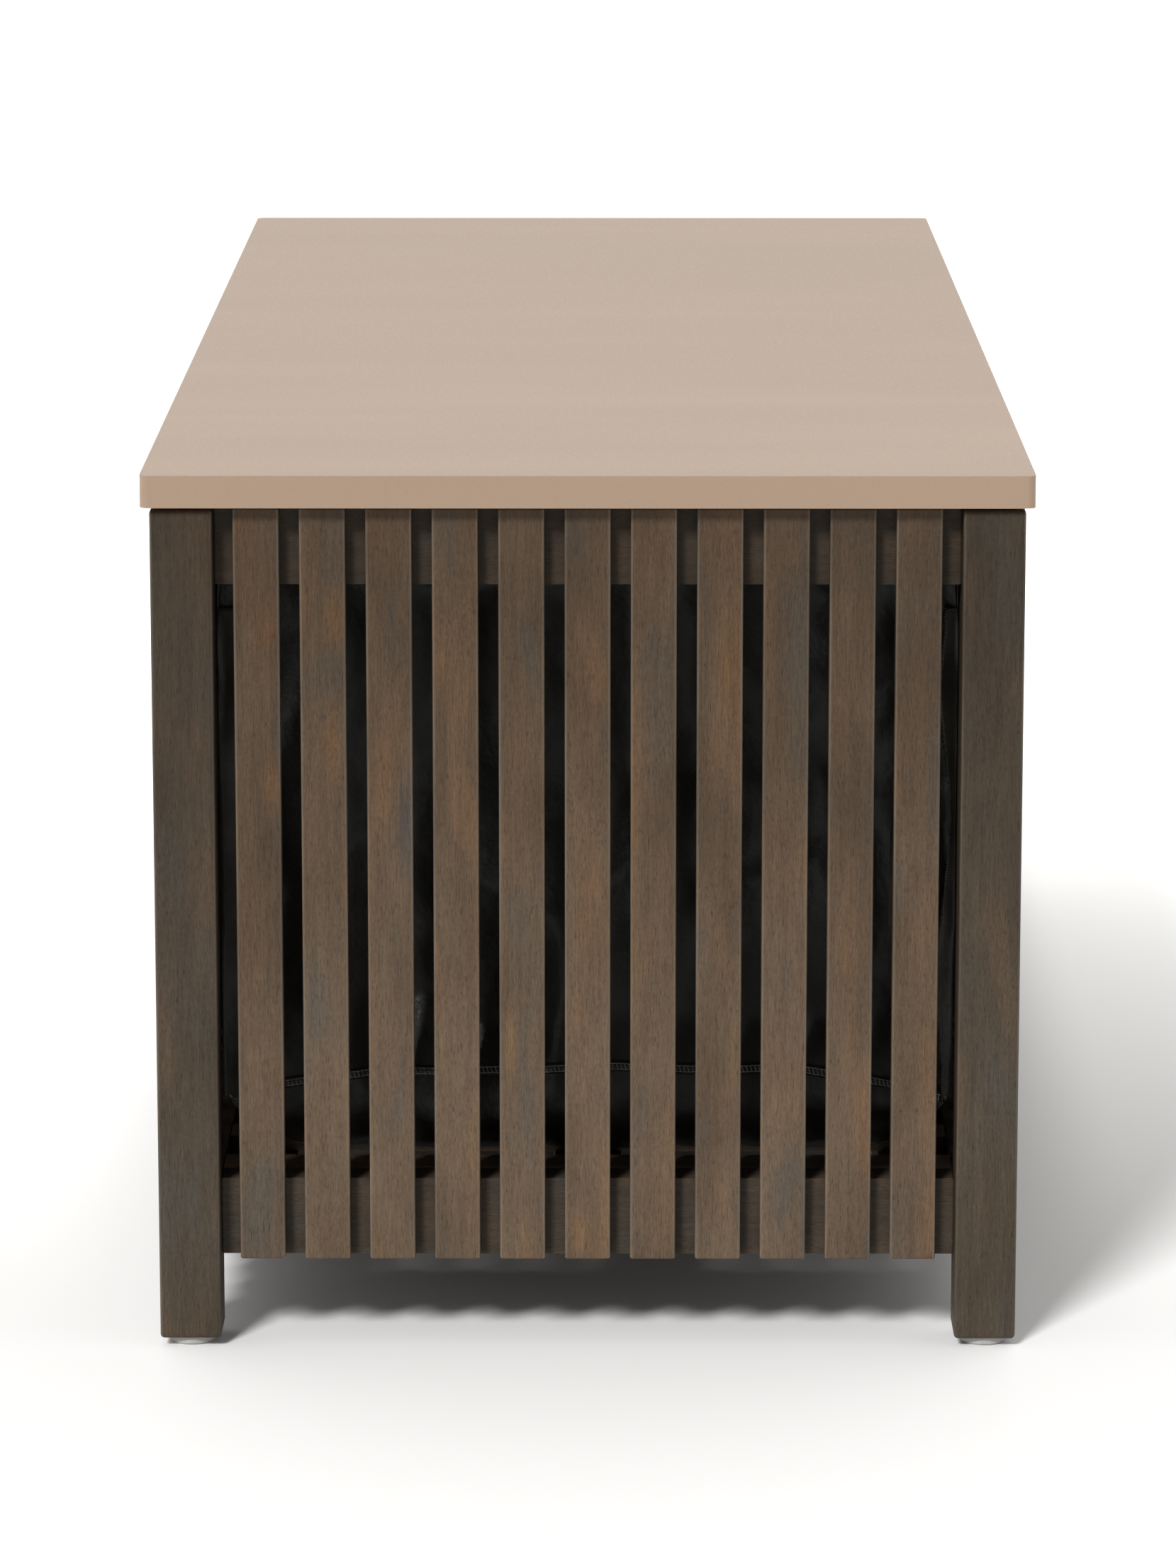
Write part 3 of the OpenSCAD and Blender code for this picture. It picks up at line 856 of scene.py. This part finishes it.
def coated_cloth(name, colour, rough):
    """Polyester with a coated face: a fine twill, a soft sheen, lighter patches and faint creases."""
    material, tree, shader = new_material(name)
    place = object_place(tree)
    twist = noise(tree, place, 6.0, 3.0, 0.5)
    blotches = noise(tree, place, 23.0, 4.0, 0.6)
    grain = noise(tree, place, 1500.0, 2.0, 0.6)
    twill = add(
        tree, "TexWave", {"Vector": place, "Scale": 310.0, "Distortion": 1.2, "Detail": 1.0},
        wave_type="BANDS", bands_direction="DIAGONAL",
    )
    tint = mix_colour(tree, step(tree, blotches, 0.42, 0.78), opaque(colour), opaque(colour, 1.8))
    shade = step(tree, grain, 0.3, 0.7, 0.75, 1.25)
    put(tree, shader.inputs["Base Color"], scale_colour(tree, tint, [shade] * 3))
    put(tree, shader.inputs["Roughness"], step(tree, twist, 0.3, 0.7, rough - 0.07, rough + 0.1))
    shader.inputs["Specular IOR Level"].default_value = 0.55
    weave = bump(tree, math_node(tree, "ADD", twill, times(tree, grain, 0.8)), 0.3, 0.00015)
    facets = add(tree, "TexVoronoi", {"Vector": place, "Scale": 7.5, "Smoothness": 0.12}, feature="SMOOTH_F1")
    creases = bump(tree, math_node(tree, "ADD", facets, times(tree, twist, 0.8)), 1.0, 0.03, weave)
    put(tree, shader.inputs["Normal"], bump(tree, blotches, 0.7, 0.004, creases))
    return material


# The colours of the cloth, of its back, which the corner flanges show, and of both threads.
BLACK_CLOTH = (0.0068, 0.0062, 0.0042)
CLOTH_BACK = (0.022, 0.021, 0.017)
PALE_THREAD = (0.4, 0.39, 0.36)
DARK_THREAD = (0.13, 0.127, 0.115)


def make_bag(cloth):
    """The settled bag, and its rows of places from the seam up."""
    points, faces, rows = bag_shell()
    bag = mesh_object("storage_liner", points, faces)
    places = sag(bag, points)
    places = [keep_clear(place.copy(), start) for place, start in zip(places, points)]
    for vertex, place in zip(bag.data.vertices, places):
        vertex.co = place
    bag.vertex_groups.clear()
    smooth = bag.modifiers.new("smooth", "SUBSURF")
    smooth.levels = 1
    smooth.render_levels = 1
    crumple(bag, points)
    skin = bag.modifiers.new("thickness", "SOLIDIFY")
    skin.thickness = CLOTH_THICK
    skin.offset = 0.0
    bake(bag)
    bag.data.materials.append(cloth)
    return bag, [[places[index] for index in row] for row in rows]


def surface_under(tree, point, outward, reach=0.02):
    """The bag's outer face at a point, looked for from outside it."""
    hit, normal, _, _ = tree.ray_cast(point + outward * reach, -outward, 2.5 * reach)
    if hit is None:
        hit, normal, _, _ = tree.find_nearest(point + outward * 0.2 * reach)
    if normal.dot(outward) < 0:
        normal = -normal
    return hit, normal


UP = Vector((0.0, 0.0, 1.0))
# The floor seam's band and the ladder of thread on it.
BAND_HALF = 0.0042
BAND_THICK = 0.0008
BAND_STRIDE = 0.006
BAND_SUNK = 0.0002
LADDER_HALF = 0.0019
LADDER_PITCH = 0.0029
THREAD = 0.00024


def make_seam(tree, ring):
    """The lapped seam between walls and floor panel, and the overlock ladder sewn along it."""
    points, faces, sections = [], [], []
    for spot in along(ring, BAND_STRIDE, True):
        out = wall_side(spot)
        upper, over = surface_under(tree, spot + UP * BAND_HALF, out)
        lower, under = surface_under(tree, spot - UP * BAND_HALF * 0.8, out)
        sections.append([
            upper - over * BAND_SUNK,
            upper + over * BAND_THICK,
            lower + under * BAND_THICK,
            lower - under * BAND_SUNK,
        ])
    ribbon(points, faces, sections, True)
    band = mesh_object("liner_seam", points, faces)
    points, faces = [], []
    rails = ([], [])
    ways = ([], [])
    for spot in along(ring, LADDER_PITCH, True):
        out = wall_side(spot)
        for rail, way, height in zip(rails, ways, (LADDER_HALF, -LADDER_HALF)):
            place, normal = surface_under(tree, spot + UP * height, out)
            rail.append(place + normal * (BAND_THICK + 0.6 * THREAD))
            way.append(normal)
    for rail, way in zip(rails, ways):
        thread(points, faces, rail, THREAD, way, True)
    count = len(rails[0])
    for k in range(count):
        foot = rails[1][(k + 1) % count].lerp(rails[1][k], 0.6)
        middle = rails[0][k].lerp(foot, 0.5) + ways[0][k] * THREAD
        thread(points, faces, [rails[0][k], middle, foot], THREAD, ways[0][k])
    ladder = mesh_object("liner_seam_stitches", points, faces)
    return band, ladder


# Width of each corner's flange and how far its edge waves, by the signs of x and y.
FLANGE_WIDTHS = {
    (1, 1): (0.0075, 0.0042),
    (1, -1): (0.0165, 0.0035),
    (-1, 1): (0.012, 0.003),
    (-1, -1): (0.01, 0.003),
}
FLANGE_THICK = 0.0013
FLANGE_STRIDE = 0.0045
# The waves' length, and a height at which they start.
WAVE = 0.2
WAVE_FROM = 0.41
# The flange curls off the wall from this much at the corner, by this much more at its edge.
CURL_ROOT = 0.001
CURL_EDGE = 0.0042
# How far the flange's fold stands out past the corner, and its gap to the wall and to the post.
TAB = 0.0045
TAB_LIFT = 0.0004
TAB_GAP = 0.0006
OVERLOCK_PITCH = 0.0018


def flange_section(tree, spot, width, wave, out, side):
    """The flange's cross-section: front points from the fold to the edge, and back points."""
    fold_y = side * min(abs(spot.y) + TAB, POST_INNER_Y - TAB_GAP)
    back = [Vector((spot.x, fold_y, spot.z)) + out * TAB_LIFT]
    for share in (0.0, 0.3, 0.6, 0.85, 1.0):
        inward = Vector((0.0, side * (TAB_GAP + width * share), 0.0))
        skin, _ = surface_under(tree, spot - inward, out)
        back.append(skin + out * (CURL_ROOT + CURL_EDGE * share * (1.0 + 0.5 * wave)))
    return [place + out * FLANGE_THICK for place in back], back


def overlock(points, faces, edge, roots, out, side):
    """Adds threads over a flange's edge: in at the front, round the edge and to the back."""
    for tip, root in zip(along(edge, OVERLOCK_PITCH, False), along(roots, OVERLOCK_PITCH, False)):
        over = tip - Vector((0.0, side * 0.0004, 0.0))
        front = root + out * 0.0002 + UP * 0.0006
        bend = over + out * 0.9 * FLANGE_THICK
        thread(points, faces, [front, bend, over, over - out * FLANGE_THICK], THREAD, UP)


def make_flanges(tree, rows):
    """The seam allowance at each upright corner, folded over the end wall with an overlocked edge."""
    points, faces = [], []
    sewn, sewn_faces = [], []
    for column in (0, COLUMNS_X, COLUMNS_X + COLUMNS_Y, 2 * COLUMNS_X + COLUMNS_Y):
        line = [row[column] for row in rows if row[column].z < RAIL_UNDERSIDE - 0.004]
        end = math.copysign(1.0, line[0].x)
        side = math.copysign(1.0, line[0].y)
        out = Vector((end, 0.0, 0.0))
        base, swing = FLANGE_WIDTHS[int(end), int(side)]
        sections, edge, roots = [], [], []
        for spot in along(line, FLANGE_STRIDE, False):
            wave = math.sin(2 * math.pi * (spot.z - WAVE_FROM) / WAVE)
            wave += 0.35 * field.noise(Vector((side, end, spot.z * 60)))
            front, back = flange_section(tree, spot, base + swing * wave, wave, out, side)
            sections.append(front + back[::-1])
            edge.append(front[-1].lerp(back[-1], 0.5))
            roots.append(front[-2])
        ribbon(points, faces, sections, False)
        overlock(sewn, sewn_faces, edge, roots, out, side)
    flanges = mesh_object("liner_corner_flanges", points, faces)
    return flanges, mesh_object("liner_corner_stitches", sewn, sewn_faces)


# The hem's height and thickness. Its stitches run this far above its lower edge.
HEM_DROP = 0.028
HEM_THICK = 0.0004
HEM_STRIDE = 0.008
HEM_MARGIN = 0.0035
HEM_STITCH = 0.0034
HEM_THREAD = 0.0002


def make_hem(rows):
    """The turned top hem on the inside, and the line of stitches that holds it."""
    top = rows[-1]
    points, faces, sections = [], [], []
    depth = CLOTH_THICK / 2
    for place in along(top, HEM_STRIDE, True):
        side = wall_side(place)
        foot = place - UP * HEM_DROP
        sections.append([
            place - side * depth,
            foot - side * depth,
            foot - side * (depth + HEM_THICK),
            place - side * (depth + HEM_THICK),
        ])
    ribbon(points, faces, sections, True)
    hem = mesh_object("liner_hem", points, faces)
    points, faces = [], []
    spots = along(top, HEM_STITCH, True)
    for here, there in zip(spots, spots[1:] + spots[:1]):
        side = wall_side(here)
        drop = UP * (HEM_DROP - HEM_MARGIN) + side * (depth + HEM_THICK)
        start = here - drop
        end = here.lerp(there, 0.72) - drop
        middle = start.lerp(end, 0.5) - side * HEM_THREAD
        thread(points, faces, [start, middle, end], HEM_THREAD, side)
    return hem, mesh_object("liner_hem_stitches", points, faces)


def finish_liner():
    cloth = coated_cloth("liner_cloth", BLACK_CLOTH, rough=0.46)
    pale = coated_cloth("seam_thread", PALE_THREAD, rough=0.6)
    dark = coated_cloth("dark_thread", DARK_THREAD, rough=0.6)
    backing = coated_cloth("liner_backing", CLOTH_BACK, rough=0.55)
    bag, rows = make_bag(cloth)
    surface = BVHTree.FromPolygons(
        [vertex.co for vertex in bag.data.vertices],
        [face.vertices for face in bag.data.polygons],
    )
    sewn = [*make_seam(surface, rows[0]), *make_flanges(surface, rows), *make_hem(rows)]
    for piece, material in zip(sewn, (cloth, pale, backing, dark, cloth, dark)):
        piece.data.materials.append(material)
        for face in piece.data.polygons:
            face.use_smooth = True
    for piece in [bag] + sewn:
        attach(piece, "frame")
    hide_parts("liner")


make_camera()
make_stage()
finish_cad()
finish_liner()
